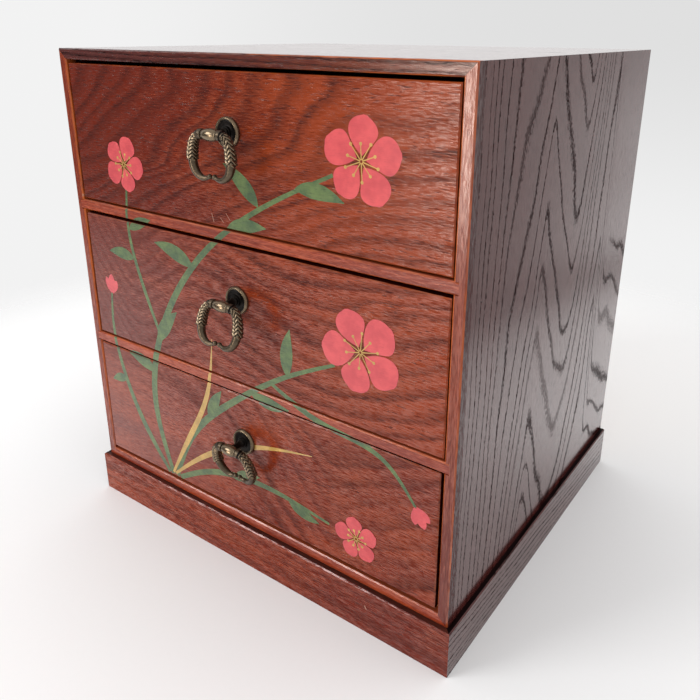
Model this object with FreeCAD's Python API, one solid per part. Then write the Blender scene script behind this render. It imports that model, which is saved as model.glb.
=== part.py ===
import FreeCAD, Part
import math
import os

# Small three-drawer tansu chest with leaf ring pulls. All sizes are in millimetres.
# Seen from the front, +X is to the right, +Y is to the back and +Z is up.
# The origin is the middle of the plinth's lower front edge, on the surface that the chest stands on.

# ---- Carcass
WIDTH = 240.0               # outside width of the carcass
DEPTH = 210.0               # outside depth of the carcass
HEIGHT = 265.4              # from the floor to the top
BOARD = 5.4                 # thickness of the sides, top, bottom, dividers and rails
EDGING_DEPTH = 5.5          # depth of the solid strips that edge the boards at the front
HOUSING_DEPTH = 2.3         # depth of the housings that hold rails and dividers in the sides
BACK_THICKNESS = 3.0        # plywood back panel
BACK_LAP = 2.8              # how far the back panel laps into the rebate of each board
EASED_EDGE = 0.6            # chamfer on the edges that a hand meets

# ---- Plinth
PLINTH_HEIGHT = 24.5
PLINTH_THICKNESS = 12.0
PLINTH_PROUD = 2.7          # how far the plinth stands out from the carcass at the front and sides
BLOCK_LEG = 14.0            # legs of the triangular glue blocks in the plinth's corners
BLOCK_HEIGHT = 18.0

# ---- Drawers
DRAWER_NAMES = ["bottom", "middle", "top"]
SIDE_PLAY = 1.9             # total play between a drawer and the two sides
FRONT_PLAY = 2.7            # total play above and below a drawer front
FRONT_THICKNESS = 9.0
FRONT_RECESS = 0.3          # how far the fronts lie behind the edgings
LAP = 4.0                   # thickness of the front that hides the end of each drawer side
DRAWER_BOARD = 5.0          # drawer sides and back
SIDE_HEADROOM = 6.1         # from the top of a drawer side to the board above
BACK_DROP = 3.0             # how far the drawer back stays below the drawer sides
DRAWER_PLY = 2.7            # drawer bottom
PLY_RISE = 4.0              # height of the drawer bottom above the drawer side's lower edge
GROOVE_DEPTH = 2.5          # groove that holds the drawer bottom
DRAWER_BACK_PLAY = 0.4      # between a closed drawer and the back panel
# Each drawer sits a little to one side, and its front is planed to its own opening.
DRAWER_SHIFT = {"bottom": -0.6, "middle": 0.3, "top": 0.3}
FRONT_LIFT = {"bottom": 1.8, "middle": 0.9, "top": 1.0}

# ---- Brads that hold the drawer's corners, cut from flat wire
BRAD_WIDTH = 1.2            # up and down
BRAD_THICKNESS = 1.0        # front to back
BRAD_LENGTH = 13.0
BRADS_IN_A_CORNER = 3
BRAD_EDGE_DISTANCE = 11.0   # from the first and last brad to the upper or lower edge of the side

# ---- Ring pulls
PULL_RISE = 9.2             # height of the pull's screw above the middle of the drawer front
SCREW_DIAMETER = 3.0
SCREW_PLAY = 0.2            # radial play of the screw in the drawer front and the rosette
SCREW_END = 1.6             # how far the screw stands out of its nut
ROSETTE_DIAMETER = 14.0
ROSETTE_EDGE = 1.0          # thickness of the rosette at its edge
ROSETTE_RIM = 1.9           # height of the rim above the drawer front
ROSETTE_RIM_WIDTH = 0.8
ROSETTE_BEVEL = 0.7         # how far the outer bevel runs in, from the edge to the rim
ROSETTE_DISH = 0.9          # height of the dished floor above the drawer front
ROSETTE_BOSS_DIAMETER = 5.6
ROSETTE_BOSS = 2.3          # height of the boss that the post's foot seats on
POST_FOOT_DIAMETER = 4.6
POST_FOOT = 0.8
POST_NECK_DIAMETER = 3.4
BARREL_REACH = 10.5         # from the drawer front to the axis of the barrel
BARREL_LENGTH = 9.4
BARREL_DIAMETER = 5.8
BARREL_END_DIAMETER = 3.6
NUT_ACROSS_FLATS = 5.5
NUT_THICKNESS = 2.4
THREAD_PLAY = 0.05

# ---- Rings
BAR_DIAMETER = 2.2          # bar of the ring, which turns in the barrel
BAR_PLAY = 0.08             # radial running clearance of the bar in the barrel
COLLAR_GAP = 0.15           # between each end of the barrel and the collar beside it
COLLAR_DIAMETER = 4.8
COLLAR_LENGTH = 3.8
COLLAR_EASE = 1.0           # bevel round the collar's outer end
RING_HALF_WIDTH = 11.8      # from the middle of the ring to the middle line of an arm at its widest
RING_DROP = 19.0            # from the bar's axis to the lowest point of the middle line
TIP_RISE = 1.5              # how far the beaded tips turn up again from that point
TIP_GAP = 0.8               # clear gap between the two beads
LEAF_LENGTH = 13.0          # along the arm, from the middle of the collar to the plain horn
LEAF_TOP_RADIUS = 2.0       # leaf's radius beside the collar
LEAF_RADIUS = 2.9           # leaf's largest radius, at the foot of its scales
SCALE_COUNT = 6
SCALE_STEP = 0.4            # how far each scale stands out over the next one
SCALE_POINT = 1.0           # how far each scale's front and back points hang below its flanks
HORN_RADIUS = 2.2           # plain horn where it leaves the leaf
HORN_TIP_RADIUS = 1.0
BEAD_RADIUS = 1.25
# Middle line of an arm between the collar and the bead, as shares of the half width and of the drop.
ARM_CURVE = [(0.93, 0.25), (1.0, 0.6), (0.8, 0.9), (0.42, 1.0)]
# Outline of the bead from the horn to its tip, as shares of its length and of its radius.
BEAD_CURVE = [(0.2, 0.85), (0.45, 1.0), (0.75, 0.9), (1.0, 0.45)]
ARM_SIDES = 12              # flats round the leaf, horn, bead and collar
HORN_STEPS = 5
BARREL_SIDES = 16
BARREL_STEPS = 6
# Angle of each ring at rest, outward from straight down. They are stiff and stay where they are left.
RING_SWING = {"bottom": -13.5, "middle": 14.0, "top": 2.0}

# ---- Places worked out from the sizes above
LEFT = -WIDTH / 2
RIGHT = WIDTH / 2
FRONT = PLINTH_PROUD
BACK = FRONT + DEPTH
INNER_LEFT = LEFT + BOARD
INNER_RIGHT = RIGHT - BOARD
BOARDS_FRONT = FRONT + EDGING_DEPTH
PANEL_FRONT = BACK - BACK_THICKNESS
CARCASS_FLOOR = PLINTH_HEIGHT + BOARD
CEILING = HEIGHT - BOARD
OPENING_HEIGHT = (CEILING - CARCASS_FLOOR - 2 * BOARD) / 3
FLOORS = {
    name: CARCASS_FLOOR + level * (OPENING_HEIGHT + BOARD)
    for level, name in enumerate(DRAWER_NAMES)
}
DRAWER_WIDTH = WIDTH - 2 * BOARD - SIDE_PLAY
DRAWER_FRONT = FRONT + FRONT_RECESS
DRAWER_END = PANEL_FRONT - DRAWER_BACK_PLAY
FRONT_HEIGHT = OPENING_HEIGHT - FRONT_PLAY
DRAWER_SIDE_HEIGHT = OPENING_HEIGHT - SIDE_HEADROOM

SAME_PLACE = 1e-6           # two corners nearer than this count as one

V = FreeCAD.Vector


def block(x0, x1, y0, y1, z0, z1):
    """A box between two corners."""
    return Part.makeBox(x1 - x0, y1 - y0, z1 - z0, V(x0, y0, z0))


def flat(corners):
    """A flat face between corners."""
    return Part.Face(Part.makePolygon(corners + corners[:1]))


def prism(points, travel):
    """A flat outline pushed along a vector."""
    return flat(points).extrude(travel)


def turned(profile):
    """A piece turned on a lathe about the Y axis, from (radius, y) points."""
    face = flat([V(radius, y, 0) for radius, y in profile])
    return face.revolve(V(0, 0, 0), V(0, 1, 0), 360)


def ease(shape, chosen, size=EASED_EDGE):
    """Chamfer the straight edges for which chosen(start, end) is true."""
    edges = [
        edge for edge in shape.Edges
        if len(edge.Vertexes) == 2 and chosen(edge.Vertexes[0].Point, edge.Vertexes[1].Point)
    ]
    return shape.makeChamfer(size, edges)


def along_front(y, axis):
    """Chooses the edges that lie in the plane at y and run along X or along Z."""
    def chosen(start, end):
        if abs(start.y - y) > SAME_PLACE or abs(end.y - y) > SAME_PLACE:
            return False
        return abs(start.z - end.z) < SAME_PLACE if axis == "X" else abs(start.x - end.x) < SAME_PLACE
    return chosen


def save(name, shape):
    """Write one sub-part."""
    shape.exportStep(os.path.join("parts", name + ".step"))


# ---- Carcass

def mitred_frame(y0, y1):
    """The four boards round the carcass between two depths, mitred at the corners."""
    outer = [
        V(LEFT, y0, PLINTH_HEIGHT), V(RIGHT, y0, PLINTH_HEIGHT),
        V(RIGHT, y0, HEIGHT), V(LEFT, y0, HEIGHT),
    ]
    inner = [
        V(INNER_LEFT, y0, CARCASS_FLOOR), V(INNER_RIGHT, y0, CARCASS_FLOOR),
        V(INNER_RIGHT, y0, CEILING), V(INNER_LEFT, y0, CEILING),
    ]
    boards = {}
    for corner, name in enumerate(["bottom", "right", "top", "left"]):
        other = (corner + 1) % 4
        outline = [outer[corner], outer[other], inner[other], inner[corner]]
        boards[name] = prism(outline, V(0, y1 - y0, 0))
    return boards


def housed(x_side, y0, y1):
    """The housings for the two rails or dividers in one side, as solids to cut away."""
    x0, x1 = sorted([x_side, x_side + math.copysign(HOUSING_DEPTH, x_side)])
    cuts = [
        block(x0, x1, y0, y1, FLOORS[name] - BOARD, FLOORS[name])
        for name in ["middle", "top"]
    ]
    return cuts[0].fuse(cuts[1])


def carcass_boards():
    """Sides, top and bottom, rebated for the back panel and housed for the dividers."""
    boards = mitred_frame(BOARDS_FRONT, BACK)
    rebate = block(
        INNER_LEFT - BACK_LAP, INNER_RIGHT + BACK_LAP, PANEL_FRONT, BACK,
        CARCASS_FLOOR - BACK_LAP, CEILING + BACK_LAP,
    )
    boards = {name: board.cut(rebate) for name, board in boards.items()}
    boards["left"] = boards["left"].cut(housed(INNER_LEFT, BOARDS_FRONT, PANEL_FRONT))
    boards["right"] = boards["right"].cut(housed(INNER_RIGHT, BOARDS_FRONT, PANEL_FRONT))
    save("left_side", boards["left"])
    save("right_side", boards["right"])
    save("top_board", boards["top"])
    save("bottom_board", boards["bottom"])
    save("back_panel", rebate)


def edgings():
    """Solid strips on the front edges of the four boards, mitred, with eased edges."""
    strips = mitred_frame(FRONT, BOARDS_FRONT)
    for name, strip in strips.items():
        strip = ease(strip, along_front(FRONT, "Z" if name in ["left", "right"] else "X"))
        if name == "left":
            strip = strip.cut(housed(INNER_LEFT, FRONT, BOARDS_FRONT))
        if name == "right":
            strip = strip.cut(housed(INNER_RIGHT, FRONT, BOARDS_FRONT))
        save(name + "_edging", strip)


def dividers():
    """Two dividers with a solid rail in front of each, housed in the sides."""
    x0 = INNER_LEFT - HOUSING_DEPTH
    x1 = INNER_RIGHT + HOUSING_DEPTH
    for level, above in [("lower", "middle"), ("upper", "top")]:
        z1 = FLOORS[above]
        z0 = z1 - BOARD
        rail = block(x0, x1, FRONT, BOARDS_FRONT, z0, z1)
        save(level + "_rail", ease(rail, along_front(FRONT, "X")))
        save(level + "_divider", block(x0, x1, BOARDS_FRONT, PANEL_FRONT, z0, z1))


def plinth():
    """A plinth frame under the carcass, mitred at the front, with glue blocks inside."""
    x0 = LEFT - PLINTH_PROUD
    x1 = RIGHT + PLINTH_PROUD
    y0 = FRONT - PLINTH_PROUD
    t = PLINTH_THICKNESS
    up = V(0, 0, PLINTH_HEIGHT)
    front = prism([V(x0, y0, 0), V(x1, y0, 0), V(x1 - t, y0 + t, 0), V(x0 + t, y0 + t, 0)], up)
    left = prism([V(x0, y0, 0), V(x0 + t, y0 + t, 0), V(x0 + t, BACK, 0), V(x0, BACK, 0)], up)
    right = left.mirror(V(0, 0, 0), V(1, 0, 0))
    back = block(x0 + t, x1 - t, BACK - t, BACK, 0, PLINTH_HEIGHT)

    def upper_outer(start, end):
        at_top = min(start.z, end.z) > PLINTH_HEIGHT - SAME_PLACE
        at_front = max(start.y, end.y) < y0 + SAME_PLACE
        at_side = min(abs(start.x), abs(end.x)) > x1 - SAME_PLACE
        return at_top and (at_front or at_side)

    save("plinth_front", ease(front, upper_outer))
    save("plinth_left", ease(left, upper_outer))
    save("plinth_right", ease(right, upper_outer))
    save("plinth_back", back)

    blocks = []
    top = PLINTH_HEIGHT - BLOCK_HEIGHT
    for side in [-1, 1]:
        for y, inward in [(y0 + t, 1), (BACK - t, -1)]:
            x = side * (x1 - t)
            corner = [V(x, y, top), V(x - side * BLOCK_LEG, y, top), V(x, y + inward * BLOCK_LEG, top)]
            blocks.append(prism(corner, V(0, 0, BLOCK_HEIGHT)))
    save("plinth_blocks", Part.Compound(blocks))


# ---- Drawers

def brads(x_outer, toward, y_rows, z0, z1):
    """Brads driven through one drawer side, in a column at each given depth."""
    span = z1 - z0 - 2 * BRAD_EDGE_DISTANCE
    x0, x1 = sorted([x_outer, x_outer + toward * BRAD_LENGTH])
    half_y = BRAD_THICKNESS / 2
    half_z = BRAD_WIDTH / 2
    driven = []
    for y in y_rows:
        for number in range(BRADS_IN_A_CORNER):
            z = z0 + BRAD_EDGE_DISTANCE + span * number / (BRADS_IN_A_CORNER - 1)
            driven.append(block(x0, x1, y - half_y, y + half_y, z - half_z, z + half_z))
    return driven


def drawer(name):
    """One drawer: a lapped front, two grooved sides, a back and a plywood bottom, held by brads."""
    floor = FLOORS[name]
    shift = DRAWER_SHIFT[name]
    x0 = shift - DRAWER_WIDTH / 2
    x1 = shift + DRAWER_WIDTH / 2
    inner0 = x0 + DRAWER_BOARD
    inner1 = x1 - DRAWER_BOARD
    y0 = DRAWER_FRONT
    lap_end = y0 + LAP
    front_back = y0 + FRONT_THICKNESS
    side_top = floor + DRAWER_SIDE_HEIGHT
    ply0 = floor + PLY_RISE
    ply1 = ply0 + DRAWER_PLY
    front0 = floor + FRONT_LIFT[name]
    front1 = front0 + FRONT_HEIGHT
    screw_z = (front0 + front1) / 2 + PULL_RISE

    ply = block(
        inner0 - GROOVE_DEPTH, inner1 + GROOVE_DEPTH, front_back - GROOVE_DEPTH, DRAWER_END, ply0, ply1)
    front = block(x0, x1, y0, front_back, front0, front1)
    front = ease(front, lambda start, end: max(start.y, end.y) < y0 + SAME_PLACE)
    for end0, end1 in [(x0, inner0), (inner1, x1)]:
        front = front.cut(block(end0, end1, lap_end, front_back, front0, side_top))
    hole = Part.makeCylinder(
        SCREW_DIAMETER / 2 + SCREW_PLAY, FRONT_THICKNESS, V(shift, y0, screw_z), V(0, 1, 0))
    front = front.cut(hole).cut(ply)
    sides = {
        "left": block(x0, inner0, lap_end, DRAWER_END, floor, side_top).cut(ply),
        "right": block(inner1, x1, lap_end, DRAWER_END, floor, side_top).cut(ply),
    }
    back = block(
        inner0, inner1, DRAWER_END - DRAWER_BOARD, DRAWER_END, ply1, side_top - BACK_DROP)

    rows = [(lap_end + front_back) / 2, DRAWER_END - DRAWER_BOARD / 2]
    driven = Part.Compound(brads(x0, 1, rows, floor, side_top) + brads(x1, -1, rows, floor, side_top))
    save(name + "_drawer_front", front.cut(driven))
    save(name + "_drawer_left", sides["left"].cut(driven))
    save(name + "_drawer_right", sides["right"].cut(driven))
    save(name + "_drawer_back", back.cut(driven))
    save(name + "_drawer_bottom", ply)
    save(name + "_drawer_brads", driven)
    pull(name, V(shift, y0, screw_z))


# ---- Pulls

def rosette():
    """A dished disc with a raised rim and a boss in the middle."""
    hole = SCREW_DIAMETER / 2 + SCREW_PLAY
    edge = ROSETTE_DIAMETER / 2
    rim = edge - ROSETTE_BEVEL
    dish = rim - ROSETTE_RIM_WIDTH
    boss = ROSETTE_BOSS_DIAMETER / 2
    return turned([
        (hole, 0), (edge, 0), (edge, -ROSETTE_EDGE), (rim, -ROSETTE_RIM), (dish, -ROSETTE_RIM),
        (dish, -ROSETTE_DISH), (boss, -ROSETTE_DISH), (boss, -ROSETTE_BOSS), (hole, -ROSETTE_BOSS),
    ])


def outline(centre, way, radius, sides):
    """Corners of a regular outline round a line that lies across Y, the first one at the back."""
    across = way.cross(V(0, 1, 0)).normalize()
    turns = [2 * math.pi * k / sides for k in range(sides)]
    return [
        centre + across * (radius * math.sin(turn)) + V(0, radius * math.cos(turn), 0)
        for turn in turns
    ]


def skinned(outlines):
    """A solid skinned over a row of outlines, with flat facets between each outline and the next."""
    faces = [flat(outlines[0]), flat(outlines[-1])]
    for near, far in zip(outlines, outlines[1:]):
        for k in range(len(near)):
            faces.append(flat([near[k - 1], near[k], far[k]]))
            faces.append(flat([near[k - 1], far[k], far[k - 1]]))
    solid = Part.Solid(Part.makeShell(faces))
    return solid.removeSplitter()


def post():
    """A post with a screwed tail, a foot, a neck and an oval barrel bored for the ring's bar."""
    screw = SCREW_DIAMETER / 2
    foot = POST_FOOT_DIAMETER / 2
    neck = POST_NECK_DIAMETER / 2
    tail = FRONT_THICKNESS + NUT_THICKNESS + SCREW_END
    foot_top = -ROSETTE_BOSS - POST_FOOT
    shank = turned([
        (0, tail), (screw, tail), (screw, -ROSETTE_BOSS), (foot, -ROSETTE_BOSS),
        (foot, foot_top), (neck, foot_top), (neck, -BARREL_REACH), (0, -BARREL_REACH),
    ])
    half = BARREL_LENGTH / 2
    end = BARREL_END_DIAMETER / 2
    swell = BARREL_DIAMETER / 2 - end
    outlines = []
    for step in range(BARREL_STEPS + 1):
        turn = math.pi * step / BARREL_STEPS
        centre = V(-half * math.cos(turn), -BARREL_REACH, 0)
        outlines.append(outline(centre, V(1, 0, 0), end + swell * math.sin(turn), BARREL_SIDES))
    barrel = skinned(outlines)
    bore = Part.makeCylinder(
        BAR_DIAMETER / 2 + BAR_PLAY, BARREL_LENGTH, V(-half, -BARREL_REACH, 0), V(1, 0, 0))
    return shank.fuse(barrel).cut(bore)


def nut():
    """A hexagon nut on the screw, against the back of the drawer front."""
    y = FRONT_THICKNESS
    hexagon = flat(outline(V(0, 0, y), V(0, 0, 1), NUT_ACROSS_FLATS / math.sqrt(3), 6))
    hexagon = hexagon.extrude(V(0, 0, NUT_THICKNESS))
    hexagon.rotate(V(0, 0, 0), V(1, 0, 0), -90)
    bore = Part.makeCylinder(SCREW_DIAMETER / 2 + THREAD_PLAY, NUT_THICKNESS, V(0, y, 0), V(0, 1, 0))
    return hexagon.cut(bore)


def arm_line():
    """Middle line of the right arm: out and down from the collar, round, and up to the bead."""
    line = Part.BSplineCurve()
    start = V(BARREL_LENGTH / 2 + COLLAR_GAP + COLLAR_LENGTH / 2, 0, 0)
    between = [V(across * RING_HALF_WIDTH, 0, -down * RING_DROP) for across, down in ARM_CURVE]
    line.interpolate([start] + between + [V(TIP_GAP / 2, 0, TIP_RISE - RING_DROP)])
    return line


def station(line, distance):
    """The point and the direction at a distance along a line."""
    t = line.parameterAtDistance(distance, line.FirstParameter)
    return line.value(t), V(*line.tangent(t)[0])


def scale(line, number):
    """One scale of the leaf: it widens to its foot, and its front and back hang down in points."""
    pitch = LEAF_LENGTH / SCALE_COUNT
    start, _ = station(line, number * pitch)
    end, _ = station(line, (number + 1) * pitch)
    way = (end - start).normalize()
    swell = math.sin(math.pi / 2 * (number + 1) / SCALE_COUNT)
    foot = LEAF_TOP_RADIUS + (LEAF_RADIUS - LEAF_TOP_RADIUS) * swell
    upper = outline(start - way * SCALE_POINT, way, foot - SCALE_STEP, ARM_SIDES)
    lower = outline(end + way * SCALE_POINT, way, foot, ARM_SIDES)
    solid = skinned([upper, lower])

    across = way.cross(V(0, 1, 0)).normalize() * (2 * foot)
    front = V(0, -foot, 0)
    drop = way * SCALE_POINT
    notch = [end, end + drop - front, end + drop * 2 - front, end + drop * 2 + front, end + drop + front]
    return solid.cut(prism([corner - across for corner in notch], across * 2))


def horn(line):
    """The plain half of an arm: a round horn that tapers from inside the leaf, and its bead."""
    root = LEAF_LENGTH - SCALE_POINT
    bead = 2 * BEAD_RADIUS
    reach = line.length() - bead - root
    shape = []
    for step in range(HORN_STEPS + 1):
        share = step / HORN_STEPS
        radius = HORN_TIP_RADIUS + (HORN_RADIUS - HORN_TIP_RADIUS) * math.cos(math.pi / 2 * share)
        shape.append((root + share * reach, radius))
    for share, width in BEAD_CURVE:
        shape.append((root + reach + share * bead, width * BEAD_RADIUS))
    outlines = []
    for distance, radius in shape:
        point, way = station(line, distance)
        outlines.append(outline(point, way, radius, ARM_SIDES))
    return skinned(outlines)


def ring():
    """The ring hanging straight down, with its bar's axis on the X axis."""
    inner = BARREL_LENGTH / 2 + COLLAR_GAP
    outer = inner + COLLAR_LENGTH
    collar = skinned([
        outline(V(inner, 0, 0), V(1, 0, 0), COLLAR_DIAMETER / 2, ARM_SIDES),
        outline(V(outer - COLLAR_EASE, 0, 0), V(1, 0, 0), COLLAR_DIAMETER / 2, ARM_SIDES),
        outline(V(outer, 0, 0), V(1, 0, 0), COLLAR_DIAMETER / 2 - COLLAR_EASE, ARM_SIDES),
    ])
    line = arm_line()
    arm = collar.multiFuse([scale(line, number) for number in range(SCALE_COUNT)] + [horn(line)])
    bar = Part.makeCylinder(BAR_DIAMETER / 2, inner * 2, V(-inner, 0, 0), V(1, 0, 0))
    return bar.multiFuse([arm, arm.mirror(V(0, 0, 0), V(1, 0, 0))])


def pull(name, at):
    """One ring pull, screwed through its drawer front."""
    for piece, shape in [("rosette", rosette()), ("post", post()), ("nut", nut())]:
        shape.translate(at)
        save(name + "_pull_" + piece, shape)
    hanging = ring()
    hanging.rotate(V(0, 0, 0), V(-1, 0, 0), RING_SWING[name])
    hanging.translate(at + V(0, -BARREL_REACH, 0))
    save(name + "_ring", hanging)


os.makedirs("parts", exist_ok=True)
carcass_boards()
edgings()
dividers()
plinth()
for drawer_name in DRAWER_NAMES:
    drawer(drawer_name)
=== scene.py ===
"""Small tansu chest: lacquered woods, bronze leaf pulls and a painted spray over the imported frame."""
import math

import bmesh
import bpy
import numpy as np
from bpy.props import FloatProperty, FloatVectorProperty, IntProperty
from mathutils import Matrix, Vector


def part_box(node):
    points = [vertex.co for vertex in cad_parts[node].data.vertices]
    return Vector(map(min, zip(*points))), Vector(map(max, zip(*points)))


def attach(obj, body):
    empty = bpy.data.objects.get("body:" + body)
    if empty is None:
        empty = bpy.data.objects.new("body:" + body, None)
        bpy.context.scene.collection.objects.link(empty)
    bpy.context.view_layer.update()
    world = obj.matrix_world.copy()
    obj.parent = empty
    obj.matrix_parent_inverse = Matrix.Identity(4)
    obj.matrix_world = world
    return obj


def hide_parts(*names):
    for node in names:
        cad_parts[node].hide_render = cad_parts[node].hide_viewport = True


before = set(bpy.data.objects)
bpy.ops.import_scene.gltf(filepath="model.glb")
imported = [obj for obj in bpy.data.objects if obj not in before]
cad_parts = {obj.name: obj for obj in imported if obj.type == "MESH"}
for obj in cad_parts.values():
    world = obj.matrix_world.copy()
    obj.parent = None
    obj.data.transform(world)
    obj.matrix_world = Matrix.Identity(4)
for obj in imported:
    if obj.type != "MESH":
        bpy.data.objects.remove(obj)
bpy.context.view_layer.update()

bl_info = {
    "name": "Tansu chest dressing",
    "version": (1, 0, 0),
    "blender": (4, 5, 0),
    "location": "View3D > Sidebar > Tansu",
    "description": "Dresses the frame of a small lacquered tansu chest with its woods, bronze and paint",
    "category": "Object",
}

MM = 0.001
DRAWERS = ("bottom", "middle", "top")
# How far each ring hangs out from plumb at rest, in degrees
REST_SWING = {"bottom": -13.5, "middle": 14.0, "top": 2.0}


# ---- Numbers and colours worked out by shader nodes

def operation(kind):
    """A method that follows a field with one kind of Math node."""
    def method(self, *others):
        node = self.tree.nodes.new("ShaderNodeMath")
        node.operation = kind
        for place, value in enumerate((self,) + others):
            plug(self.tree, value, node.inputs[place])
        return Field(self.tree, node.outputs[0])

    return method


def plug(tree, value, socket):
    """Link a field or a socket to a socket, or set a number or a colour on it."""
    if isinstance(value, Field):
        tree.links.new(value.socket, socket)
    elif isinstance(value, bpy.types.NodeSocket):
        tree.links.new(value, socket)
    elif socket.type == "RGBA":
        socket.default_value = tuple(value)[:3] + (1.0,)
    else:
        socket.default_value = value


class Field:
    """One number that varies over a surface. Sums and products of fields become Math nodes."""

    def __init__(self, tree, socket):
        self.tree = tree
        self.socket = socket

    __add__ = operation("ADD")
    __sub__ = operation("SUBTRACT")
    __mul__ = operation("MULTIPLY")
    __truediv__ = operation("DIVIDE")
    __pow__ = operation("POWER")
    times_and_plus = operation("MULTIPLY_ADD")
    root = operation("SQRT")
    part = operation("FRACT")
    size = operation("ABSOLUTE")
    larger = operation("MAXIMUM")
    smaller = operation("MINIMUM")

    def rest(self):
        """What is left of one."""
        return self.times_and_plus(-1.0, 1.0)

    def step(self, low, high):
        """0 below low, 1 above high, and smooth between them. low may be above high, which turns it round."""
        node = self.tree.nodes.new("ShaderNodeMapRange")
        node.interpolation_type = "SMOOTHSTEP"
        self.tree.links.new(self.socket, node.inputs["Value"])
        ends = ((low, 0.0), (high, 1.0))
        for place, (value, result) in zip(("Min", "Max"), sorted(ends)):
            node.inputs["From " + place].default_value = value
            node.inputs["To " + place].default_value = result
        return Field(self.tree, node.outputs["Result"])


def join(x, y, z):
    """A vector socket from three fields or numbers, the first of which is a field."""
    node = x.tree.nodes.new("ShaderNodeCombineXYZ")
    for place, value in enumerate((x, y, z)):
        plug(x.tree, value, node.inputs[place])
    return node.outputs[0]


def noise(x, y, z, detail=2.0, roughness=0.5):
    """Smooth noise about 0.5, one swell to a unit, of three fields or numbers."""
    node = x.tree.nodes.new("ShaderNodeTexNoise")
    node.inputs["Scale"].default_value = 1.0
    node.inputs["Detail"].default_value = detail
    node.inputs["Roughness"].default_value = roughness
    x.tree.links.new(join(x, y, z), node.inputs["Vector"])
    return Field(x.tree, node.outputs["Fac"])


def tint(factor, first, second):
    """A colour socket between two colours or colour sockets."""
    node = factor.tree.nodes.new("ShaderNodeMix")
    node.data_type = "RGBA"
    plug(factor.tree, factor, node.inputs["Factor"])
    for name, colour in (("A", first), ("B", second)):
        plug(factor.tree, colour, [s for s in node.inputs if s.name == name and s.type == "RGBA"][0])
    return [s for s in node.outputs if s.type == "RGBA"][0]


def times(colour, share):
    """A colour with each channel multiplied by a share."""
    return [channel * share for channel in colour]


def millimetres(tree, axes="XYZ", start=(0.0, 0.0, 0.0)):
    """Object coordinates in millimetres from a starting point, in the order of the axes named."""
    source = tree.nodes.new("ShaderNodeTexCoord")
    mapping = tree.nodes.new("ShaderNodeMapping")
    mapping.inputs["Scale"].default_value = (1 / MM,) * 3
    mapping.inputs["Location"].default_value = tuple(-v for v in start)
    tree.links.new(source.outputs["Object"], mapping.inputs["Vector"])
    split = tree.nodes.new("ShaderNodeSeparateXYZ")
    tree.links.new(mapping.outputs[0], split.inputs[0])
    return [Field(tree, split.outputs["XYZ".index(axis)]) for axis in axes]


def facing(tree):
    """How far the surface faces along X, Y and Z, without sign."""
    node = tree.nodes.new("ShaderNodeNewGeometry")
    split = tree.nodes.new("ShaderNodeSeparateXYZ")
    tree.links.new(node.outputs["Normal"], split.inputs[0])
    return [Field(tree, socket).size() for socket in split.outputs]


def finish(name, roughness=0.5, metallic=0.0, specular=0.5, coat=0.0, coat_roughness=0.1):
    """A new material with one Principled shader, its uniform values set on its own sockets."""
    material = bpy.data.materials.new(name)
    material.use_nodes = True
    tree = material.node_tree
    shader = tree.nodes["Principled BSDF"]
    uniform = {"Roughness": roughness, "Metallic": metallic, "Specular IOR Level": specular,
               "Coat Weight": coat, "Coat Roughness": coat_roughness}
    for socket, value in uniform.items():
        shader.inputs[socket].default_value = value
    return material, tree, shader


def feed(tree, shader, **values):
    """Link fields and colours to the shader's sockets, by their names in lower case."""
    for name, value in values.items():
        plug(tree, value, shader.inputs[name.replace("_", " ").title()])


def relief(tree, shader, height, depth, socket="Normal"):
    """Bump from a field of height between 0 and 1, where 1 stands depth metres above 0."""
    node = tree.nodes.new("ShaderNodeBump")
    node.inputs["Strength"].default_value = 1.0
    node.inputs["Distance"].default_value = depth
    tree.links.new(height.socket, node.inputs["Height"])
    tree.links.new(node.outputs[0], shader.inputs[socket])


# ---- Wood

SCRATCHED_WOOD = (0.62, 0.36, 0.25)
# Soft slow growth lines of the plain boards
PLAIN_GRAIN = {
    "swell": 110.0, "crooked": 1.0, "lean": 0.4, "taper": 0.06, "wander": 9.0,
    "bends": [(-20.0, 0.7, 14.0, 0.0)], "bunch": 0.8, "tooth": 5.0, "ragged": 0.12, "sharp": 0.5,
    "wide": 0.95, "fade": 0.35, "least": 0.5, "dash": 16.0, "fine": 1.6}


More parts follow.
